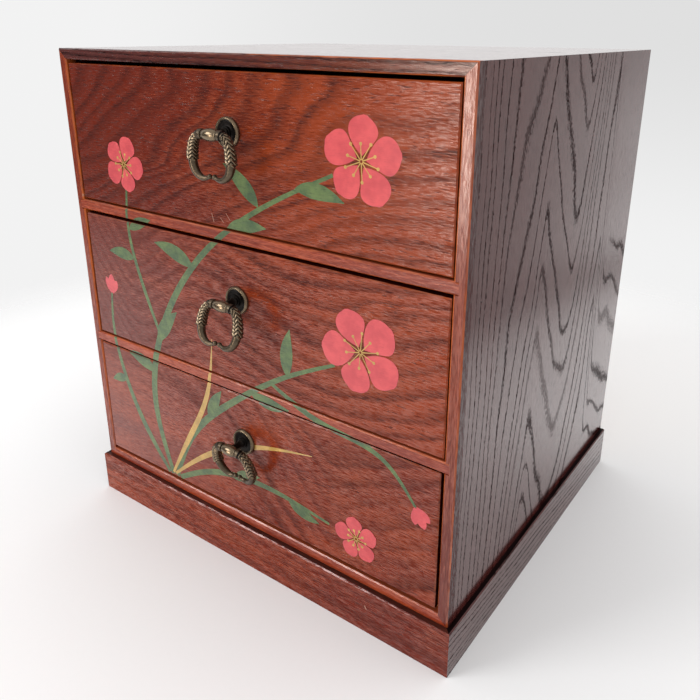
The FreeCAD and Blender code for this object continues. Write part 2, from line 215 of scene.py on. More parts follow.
def growth(along, across, deep, look):
    """Dark early wood and open pores of a sawn board, each from 0 to 1.

    A growth line runs where a sum is a whole number of spacings. The sum is of
    lean times across, taper times along and 0.7 times deep,
    k sqrt((across - a - tip along)^2 + soft^2) for each bend (a, k, soft, tip),
    k sqrt((along - a)^2 + soft^2) for each valley (a, k, soft),
    h / (1 + ((along - a) / p)^2 + ((across - b) / q)^2) for each knot (a, b, p, q, h),
    and slow noise, which swells over swell and wanders by wander, more crooked with more detail.
    Within a zone of across the taper grows by the zone's own. Each blank hides the lines past a corner.

    Lines bunch, and waver over a tooth by ragged. sharp is the near side of a line, wide and fade its width
    and far side, least the strength of the faintest. A pore is a dash long, and fine pores lie across a
    millimetre."""
    seed = look["seed"]
    swell = look["swell"]
    wander = noise(along / swell, across / (0.4 * swell), seed, detail=look["crooked"])
    rise = across * look["lean"] + along * look["taper"] + (wander - 0.5) * look["wander"]
    for place, turn, soft, tip in look["bends"]:
        aside = across - along * tip - place
        rise = rise + (aside * aside + soft * soft).root() * turn
    for place, turn, soft in look.get("valleys", ()):
        aside = along - place
        rise = rise + (aside * aside + soft * soft).root() * turn
    for a, b, p, q, height in look.get("knots", ()):
        u = (along - a) / p
        v = (across - b) / q
        rise = rise + ((u * u + v * v + 1.0) ** -1.0) * height
    for low, full, upper, high, more in look.get("zones", ()):
        rise = rise + across.step(low, full) * across.step(high, upper) * along * more
    rise = rise + deep * 0.7
    bunch = noise(rise / look["spacing"] / 2.2, seed, 0.5, detail=1.0)
    ragged = noise(along / look["tooth"], across * 1.3, seed, detail=2.0)
    rings = rise / look["spacing"] + (bunch - 0.5) * look["bunch"] + (ragged - 0.5) * look["ragged"]
    phase = rings.part()
    each = noise((rings - phase) * 3.7, seed, 0.0, detail=0.0).step(0.25, 0.6)
    band = phase.step(0.0, look["sharp"]) * phase.step(look["wide"], look["wide"] * look["fade"])
    band = band * (each * (1.0 - look["least"]) + look["least"])
    for low, full, bottom, top in look.get("blanks", ()):
        band = band * (across.step(low, full) * along.step(bottom, top)).rest()
    dash = noise(along / look["dash"], across * look["fine"], deep * 1.5 + seed, detail=2.0, roughness=0.6)
    pores = dash.step(0.50, 0.62)
    return band, pores, dash


def scratch(along, across, start, end, width):
    """A short mark between two points: 1 along it, and fading within its width."""
    size = math.dist(start, end)
    c = (end[0] - start[0]) / size
    s = (end[1] - start[1]) / size
    u = (along - start[0]) * c + (across - start[1]) * s
    v = (across - start[1]) * c - (along - start[0]) * s
    return v.size().step(width, width * 0.3) * u.step(-width, width) * u.step(size + width, size - width)


def timber(name, axes, start, colours, look, gloss, edge, flank_shading, marks):
    """Lacquered open-grained wood, with its grain along the first axis named.

    colours are light, deep and grain. A mottle of clouds and fibres, which shifts along the grain, runs
    from deep to light. strength is how dark a growth line is, spread what it keeps between its pores, and
    stray how dark the pores beside it are. Dark places are hollow: they lose lacquer. Fibres leave it thin
    in streaks, its index sets the gloss, and the wood has relief, of which the lacquer's skin keeps a part.
    calm quietens the first part of the board, and thinned (low, full, share) leaves that share of the
    lacquer up to low and all of it past full. edge is the colour of eased edges and of rubbed lines
    (across, reach, low, full), which fade in along the grain: partly stain rubbed thin, partly a painted
    highlight where light catches those edges. flank_shading gives the colour and the share of lacquer of
    faces that look along X, Y or Z: painted shade on faces inside gaps and on ledges, and on the rails'
    top faces a painted light against the shade of the gaps. marks are scratches as (start, end, width)."""
    material, tree, shader = finish(name, specular=0.0, coat=1.0, coat_roughness=gloss)
    shader.inputs["Coat IOR"].default_value = look["index"]
    along, across, deep = millimetres(tree, axes, start)
    band, pores, dash = growth(along, across, deep, look)
    cloud = noise(along / 60.0, across / 14.0, deep + look["seed"], detail=3.0, roughness=0.55)
    fibre = noise(along / 5.5, across * look["fibre"], deep + look["seed"], detail=3.0, roughness=0.7)
    mottle = cloud * 0.35 + fibre * 0.65 + along * look["shift"]
    light, deeper, grain = colours
    dark = (band * (pores * (1.0 - look["spread"]) + look["spread"]) * look["strength"]).larger(
        pores * dash.step(0.58, 0.7) * look["stray"])
    streaks = fibre.step(0.56, 0.44) * look["thin"]
    if "calm" in look:
        lively = along.step(-110.0, 10.0) * look["calm"] + (1.0 - look["calm"])
        dark = dark * lively
        streaks = streaks * lively
    colour = tint(dark, tint(mottle.step(look["deep_at"], look["light_at"]), deeper, light), grain)
    lacquer = (dark * look["hollow"]).rest() * streaks.rest()
    if "thinned" in look:
        low, full, share = look["thinned"]
        lacquer = lacquer * (along.step(low, full) * (1.0 - share) + share)
    sides = dict(zip("XYZ", facing(tree)))
    # Painted shade: faces that look along a named axis take a flat colour, which darkens the faces in gaps
    # and on ledges, and on the rails' top faces is a painted light
    for axis, (flank, share) in (flank_shading or {}).items():
        away = sides[axis].step(0.8, 0.95)
        colour = tint(away, colour, tint(dark, flank, times(flank, 0.3)))
        lacquer = lacquer * (away * (1.0 - share)).rest()
    # Painted highlight and real rubbing: eased edges and rubbed lines take the light edge colour, partly
    # stain rubbed thin and partly the light caught on the edges
    if edge is not None:
        fx, fy, fz = sides.values()
        bevel = fy.smaller(fx.larger(fz)).larger(fx.smaller(fz)).step(0.25, 0.5)
        wear = noise(along / 9.0, across / 2.0, deep / 2.0, detail=3.0)
        colour = tint(bevel * wear.step(0.25, 0.65) * look["wear"], colour, edge)
        for place, reach, low, full in look.get("rubbed", ()):
            line = (across - place).size().step(reach, reach * 0.4) * along.step(low, full)
            line = line * wear.step(0.25, 0.6) * 0.8
            colour = tint(line, colour, edge)
            lacquer = lacquer * (line * 0.6).rest()
    for mark in marks:
        colour = tint(scratch(along, across, *mark) * 0.55, colour, SCRATCHED_WOOD)
    grime = noise(along / 30.0, across / 30.0, deep / 30.0, detail=4.0, roughness=0.65)
    feed(tree, shader, base_color=colour, coat_weight=lacquer, roughness=dark * 0.3 + grime * 0.16 + 0.26)
    relief(tree, shader, (dark * 0.7 + fibre * 0.25).rest(), look["relief"])
    relief(tree, shader, (dark * 0.5 + fibre * 0.5).rest(), look["relief"] * look["skin"], "Coat Normal")
    return material


def plain_wood(name, axes, light, deeper, line, spacing=5.0, seed=1.0):
    """Unlacquered wood with soft growth lines and fine fibre."""
    material, tree, shader = finish(name, specular=0.3)
    along, across, deep = millimetres(tree, axes)
    band, pores, _ = growth(along, across, deep, dict(PLAIN_GRAIN, seed=seed, spacing=spacing))
    fibre = noise(along / 30.0, across * 1.5, deep * 1.5 + seed, detail=4.0, roughness=0.6)
    colour = tint(band * 0.45 + pores * 0.25, tint(fibre.step(0.3, 0.7), deeper, light), line)
    feed(tree, shader, base_color=colour, roughness=fibre * 0.3 + 0.45)
    relief(tree, shader, (pores * 0.6 + band * 0.3).rest(), 0.00006)
    return material


def layered_wood(name, light, line, edge_axis):
    """Thin plywood: long straight grain on its faces and dark and light layers on its edges."""
    material, tree, shader = finish(name, specular=0.3)
    x, y, z = millimetres(tree)
    _, fy, fz = facing(tree)
    upright = edge_axis == "Y"
    straight = noise(x / 60.0, y / 1.8, z / 1.8 if upright else 0.3, detail=5.0, roughness=0.6)
    pores = noise(x / 7.0, y / 0.45, z / 0.45 if upright else 0.3, detail=1.0).step(0.56, 0.68)
    through, facing_away = (y, fy) if upright else (z, fz)
    layer = (through / 1.8).part().step(0.45, 0.55)
    colour = tint(straight.step(0.3, 0.7), line, light)
    colour = tint(pores * 0.45, colour, times(line, 0.6))
    colour = tint(facing_away.step(0.6, 0.3) * layer * 0.6, colour, line)
    feed(tree, shader, base_color=colour, roughness=straight * 0.25 + 0.5)
    relief(tree, shader, straight - pores * 0.6, 0.00005)
    return material


# ---- Metal and paint

def bronze(name, high, low):
    """Antique bronze: dark in the recesses and rubbed on the high places, by the height attribute."""
    material, tree, shader = finish(name, metallic=0.85)
    x, y, z = millimetres(tree)
    mottled = noise(x / 1.1, y / 1.1, z / 1.1, detail=4.0, roughness=0.6)
    node = tree.nodes.new("ShaderNodeAttribute")
    node.attribute_name = "height"
    raised = Field(tree, node.outputs["Fac"])
    rubbed = (raised.step(0.1, 0.95) * 0.85 + mottled * 0.3).step(0.15, 0.95)
    feed(tree, shader, base_color=tint(rubbed, low, high), roughness=rubbed * -0.22 + 0.42)
    relief(tree, shader, mottled, 0.00004)
    return material


def steel(name, colour):
    """Zinc-plated steel with a fine dull mottle."""
    material, tree, shader = finish(name, metallic=1.0)
    x, y, z = millimetres(tree)
    mottled = noise(x / 0.7, y / 0.7, z / 0.7, detail=3.0)
    feed(tree, shader, base_color=tint(mottled.step(0.3, 0.7), times(colour, 0.6), colour),
         roughness=mottled * 0.3 + 0.2)
    relief(tree, shader, mottled, 0.00003)
    return material


def paint(name, colour, shaded, seed, broken_by):
    """A thin coat of paint under the lacquer, broken by the pores of the wood below."""
    material, tree, shader = finish(name, specular=0.3, coat=0.6, coat_roughness=0.2)
    x, z = millimetres(tree, "XZ")
    cloud = noise(x / 9.0, z / 9.0, seed, detail=3.0, roughness=0.6)
    dash = noise(x / 5.0, z * 2.3, seed, detail=2.0, roughness=0.6)
    broken = dash.step(0.54, 0.68) * broken_by
    whole = tint(cloud.step(0.3, 0.7), shaded, colour)
    feed(tree, shader, base_color=tint(broken, whole, times(shaded, 0.35)), roughness=dash * 0.25 + 0.3)
    relief(tree, shader, broken.rest(), 0.00005)
    return material


# ---- Surfaces worked out with numpy

def smooth_path(points, count):
    """A natural cubic spline through points, by the distance between them, at count even steps.

    Between two points the path is the cubic whose second derivative runs straight from one's value to
    the other's, and it is nothing at both ends."""
    points = np.asarray(points, float)
    gaps = np.linalg.norm(np.diff(points, axis=0), axis=1)
    knots = np.concatenate([[0.0], np.cumsum(gaps)])
    size = len(points)
    system = np.eye(size)
    change = np.zeros_like(points)
    inner = np.arange(1, size - 1)
    system[inner, inner - 1] = gaps[:-1]
    system[inner, inner] = 2 * (gaps[:-1] + gaps[1:])
    system[inner, inner + 1] = gaps[1:]
    rise = np.diff(points, axis=0) / gaps[:, None]
    change[1:-1] = 6 * np.diff(rise, axis=0)
    second = np.linalg.solve(system, change)
    places = np.linspace(0.0, knots[-1], count)
    span = np.clip(np.searchsorted(knots, places, side="right") - 1, 0, size - 2)
    gap = gaps[span][:, None]
    after = (places - knots[span])[:, None]
    before = gap - after
    return (
        second[span] * before ** 3 / (6 * gap) + second[span + 1] * after ** 3 / (6 * gap)
        + (points[span] / gap - second[span] * gap / 6) * before
        + (points[span + 1] / gap - second[span + 1] * gap / 6) * after
    )


def unit(values):
    """Values held between 0 and 1."""
    return np.clip(values, 0, 1)


def bell(distance, width):
    """1 at no distance, and e to the minus square of distance over width."""
    return np.exp(-(distance / width) ** 2)


def circle(around):
    """Even angles round a circle."""
    return np.linspace(0.0, 2 * np.pi, around, endpoint=False)


def quads(rows, columns, ring, loop=False):
    """Corner numbers of the faces of a grid. ring joins the last column to the first, loop the last row."""
    r = np.arange(rows if loop else rows - 1)
    c = np.arange(columns if ring else columns - 1)
    r, c = np.meshgrid(r, c, indexing="ij")
    next_r = (r + 1) % rows
    next_c = (c + 1) % columns
    faces = np.stack([
        r * columns + c, r * columns + next_c, next_r * columns + next_c, next_r * columns + c], axis=-1)
    return faces.reshape(-1, 4)


def new_piece(name, parts, materials, height=None, smooth=True):
    """A mesh object from parts of (points in millimetres, faces, material number).

    height is one list of numbers for each part, which the bronze reads as an attribute."""
    points = []
    faces = []
    numbers = []
    count = 0
    for corners, polygons, number in parts:
        corners = np.asarray(corners, float).reshape(-1, 3)
        points.append(corners)
        for group in polygons:
            faces += (group + count).tolist()
            numbers += [number] * len(group)
        count += len(corners)
    mesh = bpy.data.meshes.new(name)
    mesh.from_pydata((np.concatenate(points) * MM).tolist(), [], faces)
    for material in materials:
        mesh.materials.append(material)
    mesh.polygons.foreach_set("material_index", numbers)
    mesh.polygons.foreach_set("use_smooth", [smooth] * len(faces))
    if height is not None:
        layer = mesh.attributes.new("height", "FLOAT", "POINT")
        layer.data.foreach_set("value", np.concatenate([np.ravel(h) for h in height]).astype(np.float32))
    mesh.update()
    piece = bpy.data.objects.new(name, mesh)
    bpy.context.scene.collection.objects.link(piece)
    return piece


def capped_tube(rings):
    """A tube through rings of points, (stations, round, 3), closed by a fan at each end.

    The fan's centre is the mean of the end ring."""
    stations, around, _ = rings.shape
    points = np.concatenate([rings.reshape(-1, 3), rings[:1].mean(axis=1), rings[-1:].mean(axis=1)])
    here = np.arange(around)
    after = (here + 1) % around
    first = stations * around
    last = (stations - 1) * around
    start = np.stack([np.full(around, first), after, here], axis=-1)
    end = np.stack([np.full(around, first + 1), last + here, last + after], axis=-1)
    return points, [quads(stations, around, ring=True), start, end]


def lathe(radius, station, around, centre, axis, sweep=None):
    """A closed profile turned round an axis: each point at its radius and station is carried round.

    With axis X a point goes to (station, r cos a, r sin a), with axis Y to (r sin a, station, r cos a).
    The profile's signed area tells which way it runs, so that the faces point outwards either way."""
    r, a = np.meshgrid(radius, circle(around), indexing="ij")
    s = np.repeat(np.asarray(station, float)[:, None], around, axis=1)
    if sweep is not None:
        r = r + sweep(s, a)
    if axis == "X":
        points = np.stack([s, r * np.cos(a), r * np.sin(a)], axis=-1)
    else:
        points = np.stack([r * np.sin(a), s, r * np.cos(a)], axis=-1)
    faces = quads(len(radius), around, ring=True, loop=True)
    if np.sum(station * np.roll(radius, -1) - np.roll(station, -1) * radius) > 0:
        faces = faces[:, ::-1]
    return points.reshape(-1, 3) + centre, [faces]


# ---- Sizes and colours that a user would change

def level(name, description, value, **more):
    """A number that isn't negative."""
    return FloatProperty(name=name, description=description, default=value, min=0.0, **more)


def length(name, description, value):
    """A length in metres, given in millimetres."""
    return level(name, description, value * MM, subtype="DISTANCE", unit="LENGTH")


def angle(name, description, value):
    """An angle, given in degrees."""
    return FloatProperty(name=name, description=description, default=math.radians(value), subtype="ANGLE",
                         unit="ROTATION")


def shade(name, description, value):
    """A colour."""
    return FloatVectorProperty(name=name, description=description, default=value, size=3,
                               min=0.0, max=1.0, subtype="COLOR")


class TansuWoods(bpy.types.PropertyGroup):
    """Colours of the woods, and the gloss of their lacquer"""
    front_light: shade("Front, light", "Light wood of the fronts under the lacquer", (0.31, 0.049, 0.013))
    front_deep: shade("Front, deep", "Deeper wood of the fronts", (0.155, 0.019, 0.008))
    front_grain: shade("Front, grain", "Dark grain of the fronts", (0.050, 0.016, 0.014))
    # The worn edge colour is stain rubbed thin, and also a painted highlight on the lit eased edges
    edge_wear_and_highlight: shade("Worn edge", "Eased edges where the stain has rubbed thin", (0.52, 0.115, 0.023))
    # The side colours are darker than the fronts' to paint the shade on the sides: painted shade, with the
    # grain's own darkness. The top, the plinth's sides and the top edging take them too.
    shaded_side_light: shade("Side, light", "Light wood of the sides and the top", (0.085, 0.018, 0.015))
    shaded_side_deep: shade("Side, deep", "Deeper wood of the sides and the top", (0.055, 0.011, 0.010))
    shaded_side_grain: shade("Side, grain", "Near-black grain of the sides and the top", (0.008, 0.003, 0.003))
    drawer_light: shade("Drawer wood", "Unfinished wood of the drawers", (0.55, 0.36, 0.19))
    board_light: shade("Plain board", "Stained boards inside and below", (0.33, 0.17, 0.085))
    gloss: level("Gloss blur", "Roughness of the lacquer", 0.16, max=1.0, subtype="FACTOR")


class TansuPulls(bpy.types.PropertyGroup):
    """Sizes of the pulls, and the colours of their metal"""
    rosette: length("Rosette radius", "Radius of the round plate", 7.0)
    reach: length("Reach", "From the drawer front to the axis of the ring's bar", 10.5)
    barrel: length("Barrel length", "Length of the barrel that the bar turns in", 9.4)
    barrel_radius: length("Barrel radius", "Radius of the barrel at its middle", 2.88)
    half_width: length("Half width", "From the middle to the middle line of an arm", 11.8)
    drop: length("Drop", "From the bar's axis to the lowest point of the middle line", 19.0)
    leaf: length("Leaf length", "Length of the chased leaf along each arm", 12.6)
    leaf_radius: length("Leaf radius", "Radius of the leaf at its foot", 2.74)
    horn_radius: length("Horn radius", "Radius of the plain horn below the leaf", 2.0)
    chase: length("Chasing depth", "Depth of the cuts between the scales", 0.5)
    rows: IntProperty(name="Scale rows", description="Rows of scales along each leaf", default=7, min=2,
                      max=12)
    high: shade("Rubbed bronze", "High places of the bronze", (0.175, 0.128, 0.08))
    low: shade("Dark bronze", "Recesses of the bronze", (0.008, 0.006, 0.005))
    steel: shade("Steel", "Nuts and brads", (0.55, 0.54, 0.51))


class TansuSpray(bpy.types.PropertyGroup):
    """Colours and thickness of the paint"""
    petal: shade("Petal", "Petals", (0.66, 0.075, 0.082))
    petal_shade: shade("Petal, shaded", "Shaded parts of the petals", (0.52, 0.045, 0.058))
    leaf: shade("Leaf", "Leaves and stems", (0.10, 0.155, 0.04))
    leaf_shade: shade("Leaf, shaded", "Shaded parts of the leaves", (0.035, 0.075, 0.022))
    gold: shade("Gold", "Gold blades and stamens", (0.58, 0.34, 0.08))
    lift: length("Film", "Thickness of one coat of paint", 0.03)


class TansuStage(bpy.types.PropertyGroup):
    """Camera, paper and light"""
    eye: FloatVectorProperty(name="Eye", description="Place of the camera", size=3, subtype="TRANSLATION",
                             unit="LENGTH", default=(0.23198, -0.22088, 0.27476))
    turn: angle("Turn", "Angle of the view from the front", 35.438)
    tilt: angle("Tilt", "Angle of the view below the horizon", 19.592)
    roll: angle("Roll", "Lean of the camera", 0.299)
    lens: FloatProperty(name="Lens", description="Focal length", default=36.69, min=1.0, unit="CAMERA")
    paper: shade("Paper", "Pale floor and backdrop", (0.90, 0.895, 0.895))
    fill: level("Fill", "Level of the even light from all round", 0.84)
    wall: level("Wall", "Level of the pale walls in the gloss", 1.2)
    near: level("Near ground", "Level of the ground beyond the paper in the gloss", 1.38)
    window: level("Window", "Level of the window at the front left in the gloss", 14.0)
    right_wall: level("Right wall", "Level of the wall to the right in the gloss", 0.75)
    key: level("Key lamp", "Power of the soft lamp at the front left", 12.0, unit="POWER")
    over: level("Top lamp", "Power of the soft lamp above", 6.0, unit="POWER")


# ---- Carcass

FRONT_GRAIN = {
    "seed": 2.0, "swell": 70.0, "crooked": 2.0, "lean": 0.0, "taper": 0.0, "wander": 14.0, "bends": [],
    "spacing": 8.5, "bunch": 1.6, "tooth": 5.0, "ragged": 0.45, "sharp": 0.25, "wide": 0.8, "fade": 0.3,
    "least": 0.35, "dash": 5.0, "fine": 1.6, "strength": 0.85, "spread": 0.55, "stray": 0.7, "hollow": 0.9,
    "relief": 0.00012, "skin": 0.8, "thin": 0.85, "index": 1.6, "fibre": 2.4, "deep_at": 0.41,
    "light_at": 0.61, "shift": 0.0, "wear": 0.3}
SIDE_GRAIN = {
    "seed": 5.0, "swell": 60.0, "crooked": 1.0, "lean": -0.45, "taper": 0.04, "wander": 5.0,
    "bends": [(0.0, 0.675, 2.0, 0.0), (34.0, -0.275, 6.0, 0.04), (94.0, 0.15, 3.0, 0.0)],
    "zones": [(-50.0, -2.0, 40.0, 84.0, 0.12), (84.0, 98.0, 300.0, 301.0, 0.13)],
    "spacing": 5.0, "bunch": 2.0, "tooth": 2.2, "ragged": 0.5, "sharp": 0.04, "wide": 0.24, "fade": 0.5,
    "least": 0.5, "dash": 7.0, "fine": 1.5, "strength": 1.0, "spread": 0.75, "stray": 0.35, "hollow": 1.0,
    "relief": 0.00014, "skin": 0.2, "thin": 0.12, "index": 1.48, "fibre": 1.6, "deep_at": 0.3,
    "light_at": 0.7, "shift": 0.0, "wear": 0.7}
EDGING_GRAIN = dict(FRONT_GRAIN, lean=1.0, taper=0.02, wander=3.0, spacing=3.0, strength=0.4, stray=0.4,
                    wear=0.55, thin=0.5)
STRAIGHT_GRAIN = dict(SIDE_GRAIN, lean=1.0, taper=0.05, wander=5.0, bends=[], zones=[], spacing=3.4)


def front_colours(woods, share=1.0):
    """Light, deep and grain of the fronts, each multiplied by a share."""
    return [times(colour, share) for colour in (woods.front_light, woods.front_deep, woods.front_grain)]


def dress(material, *nodes):
    """Give CAD nodes one material."""
    for node in nodes:
        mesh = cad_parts[node].data
        mesh.materials.clear()
        mesh.materials.append(material)


def board(name, axes, colours, look, woods, start=(0, 0, 0), flank_shading=None, marks=(), worn=True, **changes):
    """Lacquered wood for one board: a look, with the changes that this board makes to it."""
    # worn lays the edge colour on eased edges: stain rubbed thin and a painted highlight
    edge = woods.edge_wear_and_highlight if worn else None
    return timber(name, axes, start, colours, dict(look, **changes), woods.gloss, edge, flank_shading, marks)


class TANSU_OT_carcass(bpy.types.Operator):
    """Lacquer the carcass and its plinth"""
    bl_idname = "tansu.carcass"
    bl_label = "Carcass woods"

    def execute(self, context):
        woods = context.scene.tansu_woods
        front = front_colours(woods)
        # Painted shade: the sides, the top and the plinth's sides take the darker side colours
        side = (woods.shaded_side_light, woods.shaded_side_deep, woods.shaded_side_grain)
        self.sides(woods, side)
        self.edgings(woods, front)
        # Dirt and painted shade: the plinth's top ledges, under the case, are dark
        plinth_front = board(
            "lacquered plinth front", "XZY", front, FRONT_GRAIN, woods, worn=False, seed=9.2, spacing=7.0,
            lean=1.0, taper=0.06, strength=0.6, shift=-0.0004, flank_shading={"Z": ((0.07, 0.018, 0.012), 0.3)},
            marks=[((77.1, 15.6), (78.2, 13.9), 0.5)])
        plinth_side = board("lacquered plinth side", "YZX", side, STRAIGHT_GRAIN, woods, worn=False,
                            seed=13.0, flank_shading={"Z": (woods.shaded_side_grain, 0.15)})
        dress(plinth_front, "plinth_front")
        dress(plinth_side, "plinth_left", "plinth_right")
        plain = times(woods.board_light, 0.6)
        inner = plain_wood("plain board", "XYZ", woods.board_light, plain, times(plain, 0.5))
        dress(inner, "bottom_board", "lower_divider", "upper_divider", "plinth_back", "plinth_blocks")
        dress(layered_wood("back panel ply", (0.46, 0.27, 0.14), (0.30, 0.16, 0.075), "Y"), "back_panel")
        return {"FINISHED"}

    def sides(self, woods, side):
        """The three dark boards of the case, whose growth lines peak about a middle line. Their dark colours
        are painted shade for the sides, and the top takes the same colours.
        """
        right = board("lacquered right side", "ZYX", side, SIDE_GRAIN, woods, (0, 77, 0),
                      blanks=[(85.0, 97.0, 156.0, 168.0)])
        left = board("lacquered left side", "ZYX", side, SIDE_GRAIN, woods, (0, 96, 0), seed=8.3, lean=-1.0,
                     bends=[(0.0, 0.6, 9.0, 0.0), (40.0, -0.6, 16.0, 0.0)])
        top = board("lacquered top", "XYZ", side, SIDE_GRAIN, woods, (0, 110, 0), seed=11.0, lean=0.0,
                    hollow=0.3, relief=0.00003, bends=[(0.0, 1.0, 12.0, 0.05)])
        dress(right, "right_side")
        dress(left, "left_side")
        dress(top, "top_board")

    def edgings(self, woods, front):
        """The solid strips round the front and the rails between the drawers."""
        # The rubbed lines along the edgings' inner and top edges are partly rubbing and partly painted
        # highlight where light catches the eased edges
        upright = board("lacquered upright edging", "ZXY", front, EDGING_GRAIN, woods,
                        rubbed=[(-114.9, 0.6, 20.0, 120.0)], marks=[((188.4, -115.0), (189.8, -114.9), 0.5)])
        # Its outer face takes the darker side colour, painted shade like the sides
        outer = board("lacquered right edging", "ZXY", front_colours(woods, 0.88), EDGING_GRAIN, woods,
                      flank_shading={"X": (woods.shaded_side_deep, 0.8)}, index=1.85, shift=0.0008, deep_at=0.5,
                      light_at=0.7, thinned=(180.0, 215.0, 0.7), rubbed=[(114.9, 0.55, 60.0, 150.0)])
        # Painted light: the rails' top faces, seen in the gaps below the drawers, take a lit red against the
        # shade there
        strips = board("lacquered level edging", "XZY", front_colours(woods, 1.3), EDGING_GRAIN, woods,
                       flank_shading={"Z": ((0.28, 0.055, 0.02), 0.3)}, seed=4.4)
        dim = (times(woods.front_light, 0.45), woods.shaded_side_light, woods.shaded_side_grain)
        upper = board("lacquered top edging", "XZY", dim, EDGING_GRAIN, woods, seed=6.1, strength=0.9,
                      wear=0.0, index=1.75, shift=0.0012,
                      rubbed=[(265.2, 0.3, -40.0, 70.0), (260.2, 0.3, 20.0, 100.0)])
        dress(upright, "left_edging")
        dress(outer, "right_edging")
        dress(strips, "bottom_edging", "lower_rail", "upper_rail")
        dress(upper, "top_edging")


# What each drawer's front changes in the grain of the fronts
DRAWER_GRAINS = {
    "top": dict(
        seed=2.0, shift=0.0017, spacing=18.0, least=0.6, taper=0.58, wander=30.0,
        bends=[(258.0, 2.3, 20.0, 0.0)], valleys=[(66.0, -0.42, 5.0)],
        knots=[(-52.0, 213.0, 26.0, 6.0, -18.0), (56.0, 219.0, 26.0, 6.0, -20.0)]),
    "middle": dict(
        calm=0.6, seed=21.0, shift=0.0008, spacing=9.0, bunch=2.4, lean=1.0, taper=0.55, wander=14.0,
        valleys=[(-78.0, -1.1, 8.0), (-35.0, 0.6, 15.0), (30.0, -0.15, 15.0), (60.0, -0.2, 15.0)],
        knots=[(86.0, 169.0, 28.0, 5.0, -9.0)]),
    "bottom": dict(
        calm=0.6, seed=33.0, spacing=12.0, bunch=2.4, lean=1.0, taper=-0.25, wander=14.0,
        valleys=[(-30.0, 0.6, 25.0), (55.0, -0.85, 6.0)], blanks=[(88.0, 74.0, 20.0, -20.0)]),
}
# How light each drawer's front is, as a share of the colours of the fronts
DRAWER_LIGHT = {"top": 0.9, "middle": 0.95, "bottom": 0.97}
# Start, end and width of each scratch, along the front and from the floor
DRAWER_MARKS = {"top": [
    ((-13.8, 194.0), (-12.6, 189.8), 0.22), ((-8.1, 192.5), (-6.2, 190.5), 0.2),
    ((-4.4, 195.2), (-1.9, 192.3), 0.2)]}


class TANSU_OT_drawers(bpy.types.Operator):
    """Lacquer the drawer fronts and finish the drawers behind them"""
    bl_idname = "tansu.drawers"
    bl_label = "Drawer woods"

    def execute(self, context):
        woods = context.scene.tansu_woods
        pulls = context.scene.tansu_pulls
        pale = woods.drawer_light
        bare = (pale, times(pale, 0.78), times(pale, 0.5))
        sides = plain_wood("drawer side wood", "YZX", *bare, spacing=4.0, seed=3.0)
        ends = plain_wood("drawer back wood", "XZY", *bare, spacing=4.0, seed=5.0)
        floor = layered_wood("drawer bottom ply", (0.52, 0.34, 0.18), (0.36, 0.21, 0.10), "Z")
        plated = steel("zinc-plated steel", pulls.steel)
        # Painted shade and stain: the drawers' top and side faces, deep in the gaps, are dark
        dim = (times(woods.front_deep, 0.25), 0.15)
        for name in DRAWERS:
            face = board(name + " drawer front lacquer", "XZY", front_colours(woods, DRAWER_LIGHT[name]),
                         FRONT_GRAIN, woods, flank_shading={"X": dim, "Z": dim},
                         marks=DRAWER_MARKS.get(name, ()), **DRAWER_GRAINS[name])
            dress(face, name + "_drawer_front")
            dress(sides, name + "_drawer_left", name + "_drawer_right")
            dress(ends, name + "_drawer_back")
            dress(floor, name + "_drawer_bottom")
            dress(plated, name + "_drawer_brads", name + "_pull_nut")
        return {"FINISHED"}


# ---- Pulls

def pull_centre(name):
    """Where the pull's screw meets the drawer front, in millimetres."""
    low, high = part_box(name + "_pull_rosette")
    return np.array([(low.x + high.x) / 2, high.y, (low.z + high.z) / 2]) / MM


def rosette_profile(radius):
    """Radius and height of the plate's outline: bevelled edge, bead, step, dished floor and boss."""
    share = np.array([
        (0.242, 0.0), (0.995, 0.0), (1.0, 0.25), (1.0, 0.85), (0.985, 1.1), (0.955, 1.5), (0.93, 1.78),
        (0.905, 1.88), (0.87, 1.88), (0.845, 1.8), (0.83, 1.6), (0.815, 1.35), (0.80, 1.3), (0.765, 1.3),
        (0.745, 1.2), (0.735, 1.02), (0.70, 0.95), (0.55, 0.9), (0.44, 0.92), (0.415, 1.05), (0.40, 1.5),
        (0.40, 2.05), (0.385, 2.25), (0.35, 2.3), (0.242, 2.3)])
    return share[:, 0] * radius, -share[:, 1]


# Polish of the plate at distances from its middle, in millimetres
POLISH_AT = (0, 3.2, 4.9, 5.4, 6.2, 7)
POLISH = (0.3, 0.1, 0.05, 0.25, 0.9, 1.0)
# Millimetres before the drawer front, and behind it
BOSS_HEIGHT = 2.3
TAIL_END = 12.9
THREAD_PITCH = 0.5


